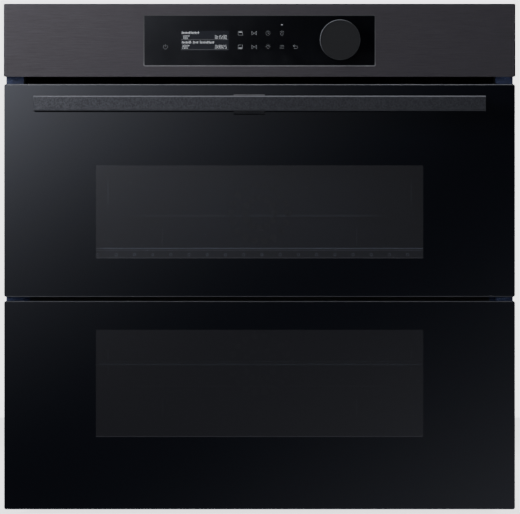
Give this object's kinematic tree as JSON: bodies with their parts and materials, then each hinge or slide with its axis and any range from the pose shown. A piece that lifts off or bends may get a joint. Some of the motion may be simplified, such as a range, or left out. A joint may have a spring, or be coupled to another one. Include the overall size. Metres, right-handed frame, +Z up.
{
  "type": "built-in wall oven",
  "caption": "Built-in electric wall oven: steel control fascia with display and dial over two glass doors that open together or the upper one alone, with racks, fans and heaters inside",
  "frame": {"origin": "middle of the base, half way between the front of the handle and the back of the cable gland, on the plane that the base runners stand on", "axes": "+X to the right seen from the front, +Y from the front to the back, +Z up; the doors face -Y"},
  "size_m": [0.595, 0.618, 0.592],
  "materials": {
    "galvanised_steel": "zinc-coated sheet and castings",
    "navy_enamel": "speckled dark blue enamel",
    "mineral_wool": "glass wool blanket",
    "seal_rubber": "woven and moulded seals",
    "chrome_wire": "plated wire",
    "heater_steel": "heat-darkened tube",
    "fan_steel": "pressed sheet",
    "lamp_ceramic": "unglazed",
    "clear_glass": "clear heat-proof",
    "black_glass": "black-backed, glossy, clear at the windows",
    "graphite_metal": "dark brushed",
    "handle_metal": "dark fine-grained anodised",
    "trim_metal": "satin",
    "bright_steel": "plated",
    "black_steel": "satin black",
    "black_plastic": "fine-grained",
    "board": "circuit board with components",
    "white_plastic": "moulded"
  },
  "bodies": {
    "casing": {"base_pan": "galvanised_steel", "base_runners": "galvanised_steel", "side_panel_left": "galvanised_steel", "side_panel_right": "galvanised_steel", "rear_panel": "galvanised_steel", "top_cover": "galvanised_steel", "front_frame": "navy_enamel", "cavity_liner": "navy_enamel", "insulation_wrap": "mineral_wool", "door_gasket": "seal_rubber", "side_racks": "chrome_wire", "wire_shelf": "chrome_wire", "baking_tray": "navy_enamel", "divider_plate": "navy_enamel", "fan_cover_upper": "navy_enamel", "fan_cover_lower": "navy_enamel", "ring_element_upper": "heater_steel", "ring_element_lower": "heater_steel", "fan_motor_upper": "galvanised_steel", "fan_motor_lower": "galvanised_steel", "grill_element": "heater_steel", "floor_element": "heater_steel", "lamp_holder": "lamp_ceramic", "lamp_lens": "clear_glass", "temperature_probe": "galvanised_steel", "air_duct": "black_steel", "blower_casing": "black_steel", "blower_motor": "galvanised_steel", "fascia": "graphite_metal", "fascia_carrier": "black_plastic", "display_trim": "trim_metal", "display_glass": "black_glass", "display_board": "board", "encoder_body": "galvanised_steel", "power_board": "board", "terminal_box": "white_plastic", "cable_gland": "black_plastic", "body_hinges": "galvanised_steel", "case_screws": "bright_steel"},
    "lower_door": {"lower_glass": "black_glass", "lower_chassis": "black_steel", "lower_inner_glass": "clear_glass", "lower_hinge_blocks": "galvanised_steel", "split_brackets": "galvanised_steel", "split_seal": "seal_rubber"},
    "upper_door": {"upper_glass": "black_glass", "upper_chassis": "black_steel", "upper_inner_glass": "clear_glass", "upper_hinge_blocks": "galvanised_steel", "upper_vent_rail": "galvanised_steel", "handle_bar": "handle_metal", "handle_posts": "handle_metal", "lever_pin": "bright_steel"},
    "lever": {"release_lever": "handle_metal"},
    "latch": {"latch_hooks": "galvanised_steel"},
    "encoder_plunger": {"encoder_plunger": "galvanised_steel"},
    "dial": {"dial_knob": "black_plastic"},
    "fan_upper": {"fan_wheel_upper": "fan_steel"},
    "fan_lower": {"fan_wheel_lower": "fan_steel"},
    "blower": {"blower_drum": "black_steel"}
  },
  "joints": [
    {"name": "lower_door_hinge", "type": "hinge", "parent": "casing", "child": "lower_door", "pos_m": [0, -0.255, 0.014], "axis": [1, 0, 0], "range_deg": [0, 90], "stiffness_Nm_per_rad": 6, "springref_deg": -14.32},
    {"name": "upper_door_hinge", "type": "hinge", "parent": "lower_door", "child": "upper_door", "pos_m": [0, -0.255, 0.261], "axis": [1, 0, 0], "range_deg": [0, 90], "stiffness_Nm_per_rad": 2.5, "springref_deg": -17.19},
    {"name": "lever_hinge", "type": "hinge", "parent": "upper_door", "child": "lever", "pos_m": [-0.012, -0.29, 0.481], "axis": [-1, 0, 0], "range_deg": [0, 12]},
    {"name": "latch_lift", "type": "slide", "parent": "upper_door", "child": "latch", "axis": [0, 0, 1], "range_m": [0, 0.005], "stiffness_N_per_m": 600, "springref_m": -0.003},
    {"name": "dial_press", "type": "slide", "parent": "casing", "child": "encoder_plunger", "axis": [0, 1, 0], "range_m": [0, 0.0012], "stiffness_N_per_m": 1500, "springref_m": -0.0006},
    {"name": "dial_turn", "type": "hinge", "parent": "encoder_plunger", "child": "dial", "pos_m": [0.0935, -0.273, 0.5495], "axis": [0, -1, 0], "continuous": true},
    {"name": "upper_fan_spin", "type": "hinge", "parent": "casing", "child": "fan_upper", "pos_m": [0, 0.197, 0.3495], "axis": [0, 1, 0], "continuous": true},
    {"name": "lower_fan_spin", "type": "hinge", "parent": "casing", "child": "fan_lower", "pos_m": [0, 0.197, 0.1635], "axis": [0, 1, 0], "continuous": true},
    {"name": "blower_spin", "type": "hinge", "parent": "casing", "child": "blower", "pos_m": [0, -0.093, 0.5355], "axis": [1, 0, 0], "continuous": true}
  ],
  "couplings": [
    {"joint": "lever_hinge", "follows": "latch_lift", "rad_per_m": 41.8}
  ]
}
